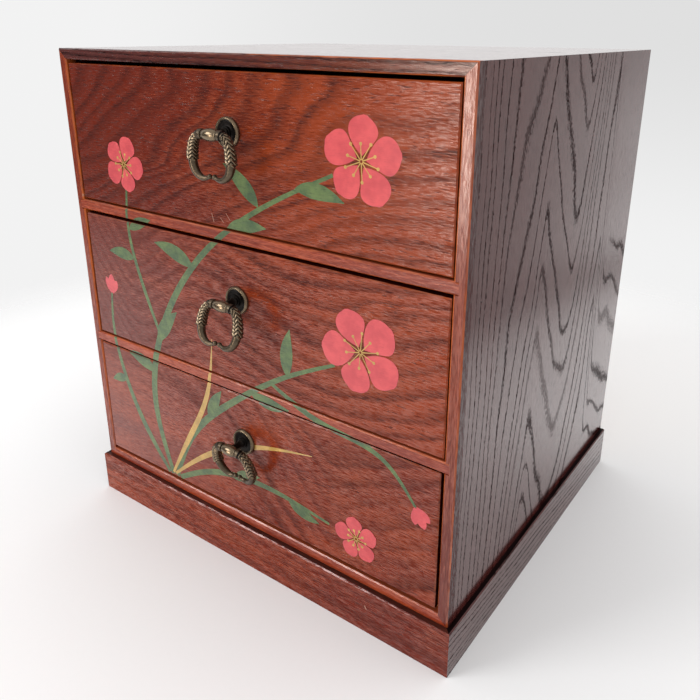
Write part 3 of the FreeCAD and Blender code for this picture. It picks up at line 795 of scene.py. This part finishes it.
class TANSU_OT_rosettes(bpy.types.Operator):
    """Turn the round plates and the posts with their barrels"""
    bl_idname = "tansu.rosettes"
    bl_label = "Rosettes and posts"

    def execute(self, context):
        pulls = context.scene.tansu_pulls
        metal = bronze("antique bronze", pulls.high, pulls.low)
        radius, station = rosette_profile(pulls.rosette / MM)
        around = 96
        polish = np.repeat(np.interp(radius, POLISH_AT, POLISH), around)
        for name in DRAWERS:
            centre = pull_centre(name)
            round_plate = lathe(radius, station, around, centre, "Y") + (0,)
            plate = new_piece(name + "_rosette_plate", [round_plate], [metal], [polish])
            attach(plate, name + "_drawer")
            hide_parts(name + "_pull_rosette")
            barrel, rubbed = self.barrel(pulls, centre)
            parts = [barrel, self.shank(pulls, centre), self.tail(centre)]
            height = [rubbed] + [np.full(len(points), 0.25) for points, *_ in parts[1:]]
            post = new_piece(name + "_barrel_post", parts, [metal], height)
            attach(post, name + "_drawer")
            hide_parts(name + "_pull_post")
        return {"FINISHED"}

    def barrel(self, pulls, centre):
        """An oval of revolution, bored along X, with a lip and a groove at each end: the radius is that of
        the ends plus the swell times a power of sqrt(1 - share^2). It is rubbed at its middle."""
        bore_radius = 1.18
        end_radius = 1.5
        half = pulls.barrel / MM / 2
        share = np.linspace(-1.0, 1.0, 41)
        from_middle = np.abs(share)
        oval = end_radius + (pulls.barrel_radius / MM - end_radius) * np.sqrt(unit(1 - share ** 2)) ** 1.25
        lip = 0.2 * bell(from_middle - 0.93, 0.04) - 0.12 * bell(from_middle - 0.8, 0.04)
        radius = np.concatenate([[bore_radius], oval + lip, [bore_radius]])
        station = np.concatenate([[-half], share * half, [half]])
        around = 64
        worn = np.linspace(-1, 1, len(station))
        rubbed = np.repeat(0.15 + 0.85 * unit(1 - worn ** 2) ** 0.6, around)
        axis = centre + (0, -pulls.reach / MM, 0)
        return lathe(radius, station, around, axis, "X") + (0,), rubbed

    def shank(self, pulls, centre):
        """A foot, then a waist that flares to the foot and to the barrel by powers of the distance."""
        reach = pulls.reach / MM
        waist_radius = 1.62
        foot_radius = 2.28
        foot_end = -3.0
        # The foot stands in for the first stations
        foot_steps = 4
        y = np.linspace(-BOSS_HEIGHT, -reach, 36)
        way = (y + BOSS_HEIGHT) / (BOSS_HEIGHT - reach)
        waist = waist_radius + 0.68 * unit(1 - way * 3.2) ** 1.5 + 0.45 * unit(way * 1.6 - 0.55) ** 2
        radius = np.concatenate([[0.01, foot_radius, foot_radius], waist[foot_steps:], [0.01]])
        station = np.concatenate([[-BOSS_HEIGHT, -BOSS_HEIGHT, foot_end], y[foot_steps:], [-reach]])
        return lathe(radius, station, 48, centre, "Y") + (0,)

    def tail(self, centre):
        """A screw: its radius is a wave of distance over pitch less turns, and its far end is eased.

        It runs through the boss, to just past the boss's face."""
        top = -2.31
        eased_radius = 1.08
        half_depth = 0.11
        cap_radius = 0.3
        y = np.linspace(TAIL_END, top, 300)
        radius = eased_radius + unit((TAIL_END - y) / 0.5) * 0.3

        def turns(s, a):
            wave = (s / THREAD_PITCH - a / (2 * np.pi)) % 1.0
            return half_depth * np.abs(wave * 2 - 1) * 2 - half_depth

        radius = np.concatenate([[cap_radius], radius, [cap_radius]])
        station = np.concatenate([[TAIL_END], y, [top]])
        return lathe(radius, station, 32, centre, "Y", turns) + (0,)


# Millimetres: the leaf's start along the arm, and the radius of the collar and of the bar
LEAF_START = 2.9
COLLAR_RADIUS = 2.36
BAR_RADIUS = 1.08


class TANSU_OT_rings(bpy.types.Operator):
    """Cast the leaf rings"""
    bl_idname = "tansu.rings"
    bl_label = "Leaf rings"

    def execute(self, context):
        pulls = context.scene.tansu_pulls
        metal = bronze("chased bronze", pulls.high, pulls.low)
        parts, height = self.ring(pulls)
        for name in DRAWERS:
            swing = math.radians(REST_SWING[name])
            turn = np.array(Matrix.Rotation(-swing, 3, "X"))
            centre = pull_centre(name) + (0, -pulls.reach / MM, 0)
            placed = [(points @ turn.T + centre, faces, 0) for points, faces in parts]
            ring = new_piece(name + "_leaf_ring", placed, [metal], height)
            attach(ring, name + "_pull_ring")
            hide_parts(name + "_ring")
        return {"FINISHED"}

    def ring(self, pulls):
        """Two mirrored arms and the bar between them, hanging straight down from the X axis.

        An arm is a section carried along a smooth path, at angles a: cos a outwards, sin a forwards."""
        half = pulls.barrel / MM / 2 + 0.15
        wide = pulls.half_width / MM
        drop = pulls.drop / MM
        stations = 420
        around = 96
        line = smooth_path([
            (half, 0, 0), (half + 1.2, 0, 0), (half + 2.5, 0, -0.25), (wide * 0.86, 0, -drop * 0.135),
            (wide * 0.96, 0, -drop * 0.3), (wide, 0, -drop * 0.6), (wide * 0.8, 0, -drop * 0.9),
            (wide * 0.42, 0, -drop), (0.42, 0, 1.5 - drop)], stations)
        way = np.gradient(line, axis=0)
        step = np.linalg.norm(way, axis=1)
        way /= step[:, None]
        s = np.concatenate([[0.0], np.cumsum((step[1:] + step[:-1]) / 2)])
        a = circle(around)
        surface, height = self.chasing(pulls, s[:, None], self.arm_radius(pulls, s)[:, None], a[None, :])
        outward = np.stack([-way[:, 2], 0 * s, way[:, 0]], axis=-1)
        forward = np.array([0.0, -1.0, 0.0])
        section = np.cos(a)[:, None] * outward[:, None, :] + np.sin(a)[:, None] * forward
        points, faces = capped_tube(line[:, None, :] + surface[..., None] * section)
        heights = np.concatenate([height.ravel(), [0.3, 0.7]])
        flipped = [group[:, ::-1] for group in faces]
        bar_x = np.linspace(-half - 0.3, half + 0.3, 9)[:, None]
        bar_a = circle(32)[None, :]
        bar = np.stack(np.broadcast_arrays(
            bar_x, BAR_RADIUS * np.cos(bar_a), BAR_RADIUS * np.sin(bar_a)), axis=-1)
        bar_points, bar_faces = capped_tube(bar)
        parts = [(points, faces), (points * (-1, 1, 1), flipped), (bar_points, bar_faces)]
        return parts, [heights, heights, np.full(len(bar_points), 0.3)]

    def arm_radius(self, pulls, s):
        """The radius at each distance: a collar, a neck, a leaf that swells to its foot as a power of a
        sine wave, a horn that narrows as a power of a cosine wave, and a round bead on its tip."""
        neck = 1.95
        collar_end = 1.9
        neck_end = 2.3
        tip = 0.9
        bead = 2.5
        end = s[-1]
        leaf_end = LEAF_START + pulls.leaf / MM
        collar = COLLAR_RADIUS * (1 - unit(1 - s / 0.35) ** 2 * 0.12)
        hollow = neck + (COLLAR_RADIUS - neck) * unit(1 - (s - collar_end) / 0.35) ** 2
        radius = np.where(s < collar_end, collar, hollow)
        grow = unit((s - neck_end) / (leaf_end - neck_end))
        leaf = neck + 0.1 + (pulls.leaf_radius / MM - neck - 0.1) * np.sin(grow * np.pi / 2) ** 0.9
        radius = np.where(s > neck_end, leaf, radius)
        share = unit((s - leaf_end) / (end - bead - leaf_end))
        horn = tip + (pulls.horn_radius / MM - tip) * np.cos(share * np.pi / 2) ** 0.9
        radius = np.where(s > leaf_end, horn, radius)
        ball = np.sqrt(np.clip(1 - ((s - (end - 1.22)) / 1.24) ** 2, 0.0009, 1)) * 1.2
        return np.where(s > end - bead, np.maximum(ball, np.where(s < end - 1.2, tip, 0.0)), radius)

    def chasing(self, pulls, s, radius, a):
        """The chased radius and its height from 0 to 1, at distances s and angles a.

        The leaf's scales are a saw wave of distance less the turn round the arm, so that they meet in
        arrowheads on both flanks. Each has fine ribs and a spine, and the leaf ends in a lip."""
        leaf_end = LEAF_START + pulls.leaf / MM
        quarter = np.abs(((2 * a / np.pi) % 1.0) - 0.5) * 2
        front = np.abs(((a / np.pi) % 1.0) - 0.5) * 2
        pitch = (leaf_end - LEAF_START) / pulls.rows
        row = (s - LEAF_START) / pitch
        lag = 0.95 * quarter
        climb = 0.82
        fall = 0.18
        phase = (row - lag + 0.04 * np.sin(3 * a)) % 1.0
        saw = np.where(phase < climb, phase / climb, (1 - phase) / fall)
        rib = 0.5 + 0.5 * np.cos((row - lag) * 6 * np.pi)
        spine = unit(1 - quarter / 0.13) * 0.5
        chased = unit(saw ** 0.8 + 0.18 * rib * saw - 0.35 * spine)
        edge = leaf_end - 0.6 + 1.1 * front ** 1.5
        window = unit((s - LEAF_START) / 0.8) * unit((edge - s) / 0.35)
        lip = bell(s - edge, 0.28) * 0.16 * (s > LEAF_START)
        past = unit((s - edge) / 0.3)
        horn = radius * (1 - past) + np.minimum(radius, pulls.horn_radius / MM) * past
        surface = np.where((s > edge) & (s < leaf_end + 2.0), horn, radius)
        surface = surface - window * (pulls.chase / MM) * (1 - chased) + lip
        surface = np.where(s < edge, np.minimum(surface, pulls.leaf_radius / MM + 0.12), surface)
        height = np.where(window > 0, 0.15 + 0.85 * chased * window, 0.5)
        height = unit(height + lip * 2.0)
        return surface, unit(height - bell(s - 2.1, 0.3) * 0.6)


# ---- Painted spray

def ribbon(points, widths, count, across):
    """A flat ribbon in X and Z: a smooth path, widened to each side by a width that runs smoothly
    through the given ones."""
    path = smooth_path(points, count)
    way = np.gradient(path, axis=0)
    way /= np.linalg.norm(way, axis=1)[:, None]
    side = np.stack([-way[:, 1], way[:, 0]], axis=-1)
    width = np.interp(np.linspace(0, 1, count), np.linspace(0, 1, len(widths)), widths)
    kernel = np.ones(5) / 5
    width = np.convolve(np.pad(width, 2, mode="edge"), kernel, mode="valid")
    spread = np.linspace(-0.5, 0.5, across)
    flat = path[:, None, :] + side[:, None, :] * (width[:, None] * spread[None, :])[..., None]
    return flat, quads(count, across, ring=False)


def heading(degrees):
    """Flat unit vectors along a heading and to its left."""
    turn = math.radians(degrees)
    ray = np.array([math.cos(turn), math.sin(turn)])
    return ray, np.array([-ray[1], ray[0]])


def lance(foot, turn, size, width, bend):
    """A leaf from its foot along a bent ray: its width is a sine wave of the distance to a power."""
    t = np.linspace(0, 1, 6)[:, None]
    ray, side = heading(turn)
    path = foot + ray * t * size + side * ((t * t) * bend * size)
    u = np.linspace(0, 1, 25)
    return ribbon(path, width * np.sin(np.pi * u ** 0.8) ** 0.9 + 0.15, 40, 5)


def petal(middle, turn, size, width, bend):
    """A petal from near the flower's middle: its width is a skewed sine wave of the distance."""
    t = np.linspace(0, 1, 7)[:, None]
    ray, side = heading(turn)
    path = middle + ray * ((0.13 + 0.87 * t) * size) + side * (np.sin(t * np.pi) * bend * size)
    u = np.linspace(0, 1, 29)
    return ribbon(path, width * size * np.sin(np.pi * u ** 1.45) ** 0.6, 44, 9)


PETAL, LEAF, GOLD = range(3)
# Middle lines of the stems and blades, in millimetres from the middle of the front and from the floor
STEMS = [
    ([(-60, 33), (-70, 78), (-56, 128), (-18, 176), (28, 206), (58, 220)], [3.4, 4.6, 4.2, 3.4, 2.4, 1.6]),
    ([(-57, 33), (-40, 66), (-8, 96), (30, 122), (58, 136)], [3.2, 4.2, 3.6, 2.6, 1.6]),
    ([(-63, 33), (-82, 58), (-96, 88), (-101, 118), (-99, 136)], [2.8, 4.2, 3.4, 2.4, 1.4]),
    ([(-54, 33), (-30, 46), (12, 54), (54, 50)], [3.0, 3.6, 3.0, 1.4]),
    ([(-60, 120), (-72, 150), (-78, 178), (-76, 198)], [2.2, 2.6, 2.2, 1.4]),
    ([(20, 115), (52, 104), (84, 98), (102, 80)], [2.0, 3.4, 2.6, 1.3]),
]
BLADES = [
    ([(-60, 34), (-44, 62), (-26, 96), (-20, 128)], [1.6, 3.4, 3.0, 0.3]),
    ([(-58, 34), (-28, 58), (16, 78), (44, 84)], [1.6, 3.2, 2.8, 0.3]),
]
# Leaves: foot, heading in degrees, length, width and bend
LANCES = [
    ((-67, 96), 152, 24, 7.5, 0.22), ((-62, 116), 62, 26, 8.0, -0.2), ((-30, 164), 150, 28, 8.0, 0.24),
    ((-4, 188), 20, 24, 7.0, -0.2), ((16, 201), 128, 26, 7.5, 0.2), ((38, 212), 8, 25, 7.0, -0.25),
    ((-26, 80), 74, 22, 7.0, -0.2), ((6, 106), -18, 24, 7.0, 0.25), ((30, 122), 96, 24, 7.5, -0.2),
    ((-94, 84), 186, 14, 5.5, 0.2), ((-10, 50), 34, 20, 6.5, -0.2), ((28, 53), -28, 20, 6.5, 0.2),
    ((-76, 160), 166, 20, 6.5, 0.2), ((-77, 176), 34, 19, 6.0, -0.2),
]
# Blossoms: middle, radius and turn in degrees
BLOSSOMS = [((72, 227), 19.0, 12), ((72, 146), 21.0, 40), ((-76, 210), 15.0, 64), ((70, 49), 12.5, 25)]
# Buds: foot, heading in degrees and length
BUDS = [((-99, 134), 84, 13.0), ((101, 82), -62, 12.0)]
# Petals of a bud: how far each leans, in degrees, and its share of the length
BUD_PETALS = [(-24, 0.85), (24, 0.85), (0, 1.0)]


class TANSU_OT_spray(bpy.types.Operator):
    """Paint the spray of blossoms on the drawer fronts and the rails"""
    bl_idname = "tansu.spray"
    bl_label = "Painted spray"

    def shapes(self):
        """All the strokes of the spray, the lowest first, as (grid of X and Z, faces, paint)."""
        strokes = [ribbon(path, widths, 110, 5) + (LEAF,) for path, widths in STEMS]
        strokes += [ribbon(path, widths, 70, 5) + (GOLD,) for path, widths in BLADES]
        strokes += [lance(*leaf) + (LEAF,) for leaf in LANCES]
        for foot, turn, size in BUDS:
            for lean, share in BUD_PETALS:
                strokes.append(petal(foot, turn + lean, size * share, 0.4, 0.0) + (PETAL,))
        for middle, size, turn in BLOSSOMS:
            for k in range(5):
                reach = size * (1 - 0.06 * (k % 2))
                strokes.append(petal(middle, turn + 72 * k, reach, 0.79, 0.03) + (PETAL,))
            for k in range(10):
                ray, _ = heading(turn + 36 * k + 9)
                tip = middle + ray * size * (0.36 + 0.07 * (k % 2))
                stalk = ribbon([middle + ray * 0.6, (middle + tip) / 2, tip], [0.5, 0.4, 0.35], 9, 2)
                head = ribbon([tip - ray * 0.7, tip, tip + ray * 0.7], [0.4, 1.6, 1.6, 0.4], 9, 3)
                strokes += [stalk + (GOLD,), head + (GOLD,)]
        return strokes

    def execute(self, context):
        look = context.scene.tansu_spray
        colours = [
            paint("petal paint", look.petal, look.petal_shade, 1.0, 0.12),
            paint("leaf paint", look.leaf, look.leaf_shade, 4.0, 0.6),
            paint("gold paint", look.gold, times(look.gold, 0.7), 7.0, 0.3),
        ]
        panels = [(name + "_drawer_front", name + "_drawer", name + "_spray") for name in DRAWERS]
        panels += [(name + "_rail", "carcass", name + "_rail_spray") for name in ("lower", "upper")]
        strokes = self.shapes()
        for node, body, title in panels:
            self.film(node, body, title, strokes, colours, look.lift / MM)
        return {"FINISHED"}

    def cut(self, work, axis, place, drop=0):
        """Cut a mesh square to an axis. drop is 1 or -1 to lose what is above or below the place."""
        at = [0.0, 0.0, 0.0]
        way = [0.0, 0.0, 0.0]
        at[axis] = place * MM
        way[axis] = float(drop or 1)
        bmesh.ops.bisect_plane(work, geom=work.verts[:] + work.edges[:] + work.faces[:], dist=1e-7,
                               plane_co=at, plane_no=way, clear_outer=bool(drop))

    def film(self, node, body, title, strokes, colours, lift):
        """The part of the spray on one board: cut at the board's edges, and laid over its eased edges,
        where it falls back as far as it goes past the flat. Each stroke lies a little over the last."""
        low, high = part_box(node)
        face = low.y / MM
        ease = 0.6
        margin = 0.08
        bottom, top = low.z / MM + margin, high.z / MM - margin
        left, right = low.x / MM + ease, high.x / MM - ease
        flat_from = bottom - margin + ease
        flat_to = top + margin - ease
        parts = []
        for order, (flat, faces, colour) in enumerate(strokes):
            if flat[..., 1].max() < bottom or flat[..., 1].min() > top:
                continue
            coat = lift * (1 + order / 25)
            points = np.stack([flat[..., 0], np.full(flat.shape[:2], -coat), flat[..., 1]], axis=-1)
            parts.append((points.reshape(-1, 3), [faces], colour))
        piece = new_piece(title, parts, colours, smooth=False)
        mesh = piece.data
        work = bmesh.new()
        work.from_mesh(mesh)
        for axis, place, drop in ((2, bottom, -1), (2, top, 1), (0, left, -1), (0, right, 1)):
            self.cut(work, axis, place, drop)
        self.cut(work, 2, flat_from)
        self.cut(work, 2, flat_to)
        work.to_mesh(mesh)
        work.free()
        places = np.empty(len(mesh.vertices) * 3)
        mesh.vertices.foreach_get("co", places)
        places = places.reshape(-1, 3) / MM
        z = places[:, 2]
        back = np.maximum(0, z - flat_to) + np.maximum(0, flat_from - z)
        places[:, 1] += face + back
        mesh.vertices.foreach_set("co", (places * MM).ravel())
        normals = np.empty(len(mesh.polygons) * 3)
        mesh.update()
        mesh.polygons.foreach_get("normal", normals)
        if normals.reshape(-1, 3)[:, 1].mean() > 0:
            mesh.flip_normals()
        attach(piece, body)


# ---- Stage

WINDOW_COLOUR = (1.0, 0.88, 0.78)
# Levels of the dark stretch of the mirrored room, and of the surround that the camera sees, whose far upper
# corner is darker as painted shade on the backdrop
DARK_ROOM = 0.2
SEEN_WALL = 0.89
SEEN_SHADED_CORNER = 0.745
# How far back the paper's middle lies, in millimetres
PAPER_MIDDLE = 100.0
# How far the picture is moved off the camera's axis, in shares of its width
PICTURE_SHIFT = (-0.0173, -0.0941)


def grey(value):
    """A colour with all its channels at one value."""
    return [value] * 3


class TANSU_OT_stage(bpy.types.Operator):
    """Set the paper, the lamps and the camera"""
    bl_idname = "tansu.stage"
    bl_label = "Stage"

    def execute(self, context):
        stage = context.scene.tansu_stage
        self.paper(stage)
        self.light(stage)
        self.camera(context, stage)
        context.scene.view_settings.view_transform = "Standard"
        return {"FINISHED"}

    def paper(self, stage):
        """A round sheet whose rim fades into the surround: grid points at (r sin a, r cos a, 0)."""
        around = 48
        radius = np.concatenate([[150.0], np.linspace(300.0, 560.0, 9)])
        r, a = np.meshgrid(radius, circle(around), indexing="ij")
        points = np.stack([r * np.sin(a), r * np.cos(a) + PAPER_MIDDLE, 0 * r], axis=-1).reshape(-1, 3)
        points = np.concatenate([points, [[0.0, PAPER_MIDDLE, 0.0]]])
        here = np.arange(around)
        hub = np.stack([np.full(around, len(points) - 1), (here + 1) % around, here], axis=-1)
        material, tree, shader = finish("pale paper", roughness=0.9, specular=0.1)
        x, y, z = millimetres(tree)
        tooth = noise(x / 3.0, y / 3.0, z / 3.0, detail=3.0)
        feed(tree, shader, base_color=tint(tooth, times(stage.paper, 0.985), stage.paper))
        y = y - PAPER_MIDDLE
        away = (x * x + y * y).root()
        glossy = Field(tree, tree.nodes.new("ShaderNodeLightPath").outputs["Is Glossy Ray"])
        rim = away.step(340.0, 540.0).larger(away.step(110.0, 240.0) * glossy)
        mix = tree.nodes.new("ShaderNodeMixShader")
        plug(tree, rim, mix.inputs[0])
        plug(tree, shader.outputs[0], mix.inputs[1])
        plug(tree, tree.nodes.new("ShaderNodeBsdfTransparent").outputs[0], mix.inputs[2])
        plug(tree, mix.outputs[0], tree.nodes["Material Output"].inputs["Surface"])
        faces = [quads(len(radius), around, ring=True), hub]
        new_piece("paper", [(points, faces, 0)], [material])

    def light(self, stage):
        """Even light from all round, two soft lamps, and a surround that is seen and mirrored."""
        world = bpy.data.worlds.new("studio")
        bpy.context.scene.world = world
        world.use_nodes = True
        tree = world.node_tree
        source = tree.nodes.new("ShaderNodeTexCoord")
        split = tree.nodes.new("ShaderNodeSeparateXYZ")
        tree.links.new(source.outputs["Generated"], split.inputs[0])
        x, y, z = [Field(tree, socket) for socket in split.outputs]
        path = tree.nodes.new("ShaderNodeLightPath")
        camera, glossy, clear = [Field(tree, path.outputs[name]) for name in (
            "Is Camera Ray", "Is Glossy Ray", "Is Transmission Ray")]
        # Painted shade: the seen surround darkens where the view runs up and back
        seen = tint(z.step(-0.3, 0.0) * y.step(0.55, 0.95), grey(SEEN_WALL), grey(SEEN_SHADED_CORNER))
        shown = tint(glossy, seen, self.room(stage, x, y, z))
        lit = tint(camera.larger(glossy).larger(clear), grey(stage.fill), shown)
        background = tree.nodes["Background"]
        plug(tree, lit, background.inputs["Color"])
        background.inputs["Strength"].default_value = 1.0
        self.lamp("key lamp", stage.key, 0.7, (-0.95, -1.15, 0.95), (0.0, 0.1, 0.12), mirrored=True)
        self.lamp("top lamp", stage.over, 1.2, (0.2, 0.3, 1.6), (0.0, 0.1, 0.1), mirrored=False)

    def room(self, stage, x, y, z):
        """The mirrored room. left and front are a level direction's shares to the left and the front."""
        flat = (x * x + y * y).root()
        left = (x / flat) * -1.0
        front = (y / flat) * -1.0
        near = grey(stage.near)
        # Pale walls, and a darker one to the right, which is brighter low down and ends at the ground
        room = tint(left.step(-0.38, -0.26) * z.step(-0.01, -0.13), grey(stage.right_wall),
                    grey(stage.right_wall * 1.45))
        room = tint(left.step(-0.33, -0.27) * z.step(-0.17, -0.26), room, near)
        room = tint(left.step(0.1, -0.1), grey(stage.wall), room)
        # A dark stretch to the far front left, and a window beside it
        room = tint(left.step(0.36, 0.46) * front.step(0.1, 0.35), room, grey(DARK_ROOM))
        pane = z.step(-0.36, -0.26) * z.step(0.2, 0.1) * front.step(0.1, 0.35) * left.step(0.30, 0.36)
        room = tint(left.step(0.495, 0.465) * pane, room, times(WINDOW_COLOUR, stage.window))
        # The ground beyond the paper, level to the left and falling away to the right
        fall = z - left * 0.46
        room = tint(z.step(-0.18, -0.34) * left.step(0.0, 0.1), room, near)
        ground = fall.step(-0.19, -0.23)
        room = tint(ground * left.step(0.1, 0.0), room, near)
        room = tint(fall.step(-0.52, -0.36) * left.step(0.0, -0.1) * ground, room, grey(stage.near * 1.1))
        # A dark line where the paper ends, and a white ceiling
        line = fall.step(-0.205, -0.188) * fall.step(-0.158, -0.172) * left.step(0.0, -0.1)
        room = tint(line, room, grey(stage.right_wall * 0.25))
        return tint(z.step(0.4, 0.7), room, grey(1.0))

    def lamp(self, name, power, size, place, aim, mirrored):
        """A square soft lamp at a place, turned to its aim."""
        light = bpy.data.lights.new(name, "AREA")
        light.energy = power
        light.size = size
        lamp = bpy.data.objects.new(name, light)
        lamp.visible_camera = False
        lamp.visible_glossy = mirrored
        lamp.location = place
        lamp.rotation_mode = "QUATERNION"
        lamp.rotation_quaternion = (Vector(aim) - Vector(place)).to_track_quat("-Z", "Y")
        bpy.context.scene.collection.objects.link(lamp)

    def camera(self, context, stage):
        """The camera looks along (-sin turn cos tilt, cos turn cos tilt, -sin tilt), leaning by its roll."""
        turn, tilt, roll = stage.turn, stage.tilt, stage.roll
        ahead = Vector((-math.sin(turn) * math.cos(tilt), math.cos(turn) * math.cos(tilt), -math.sin(tilt)))
        right = ahead.cross(Vector((0, 0, 1))).normalized()
        up = right.cross(ahead)
        leant_right = right * math.cos(roll) + up * math.sin(roll)
        leant_up = up * math.cos(roll) - right * math.sin(roll)
        data = bpy.data.cameras.new("camera")
        data.sensor_width = 36.0
        data.lens = stage.lens
        data.shift_x, data.shift_y = PICTURE_SHIFT
        data.clip_start = 0.01
        data.clip_end = 20.0
        camera = bpy.data.objects.new("camera", data)
        pose = Matrix((leant_right, leant_up, -ahead)).transposed().to_4x4()
        pose.translation = Vector(stage.eye)
        camera.matrix_world = pose
        context.scene.collection.objects.link(camera)
        context.scene.camera = camera


# ---- Add-on

SETTINGS = (
    ("tansu_woods", TansuWoods), ("tansu_pulls", TansuPulls), ("tansu_spray", TansuSpray),
    ("tansu_stage", TansuStage))
STEPS = (
    TANSU_OT_carcass, TANSU_OT_drawers, TANSU_OT_rosettes, TANSU_OT_rings, TANSU_OT_spray, TANSU_OT_stage)


class TANSU_PT_panel(bpy.types.Panel):
    """The chest's steps and its sizes and colours"""
    bl_idname = "TANSU_PT_panel"
    bl_label = "Tansu chest"
    bl_space_type = "VIEW_3D"
    bl_region_type = "UI"
    bl_category = "Tansu"

    def draw(self, context):
        for step in STEPS:
            self.layout.operator(step.bl_idname)
        for name, group in SETTINGS:
            box = self.layout.box()
            for setting in group.__annotations__:
                box.prop(getattr(context.scene, name), setting)


def register():
    for name, group in SETTINGS:
        bpy.utils.register_class(group)
        setattr(bpy.types.Scene, name, bpy.props.PointerProperty(type=group))
    for step in STEPS:
        bpy.utils.register_class(step)
    bpy.utils.register_class(TANSU_PT_panel)


def unregister():
    bpy.utils.unregister_class(TANSU_PT_panel)
    for step in reversed(STEPS):
        bpy.utils.unregister_class(step)
    for name, group in reversed(SETTINGS):
        delattr(bpy.types.Scene, name)
        bpy.utils.unregister_class(group)


def main():
    register()
    bpy.ops.tansu.carcass()
    bpy.ops.tansu.drawers()
    bpy.ops.tansu.rosettes()
    bpy.ops.tansu.rings()
    bpy.ops.tansu.spray()
    bpy.ops.tansu.stage()


if __name__ == "__main__":
    main()
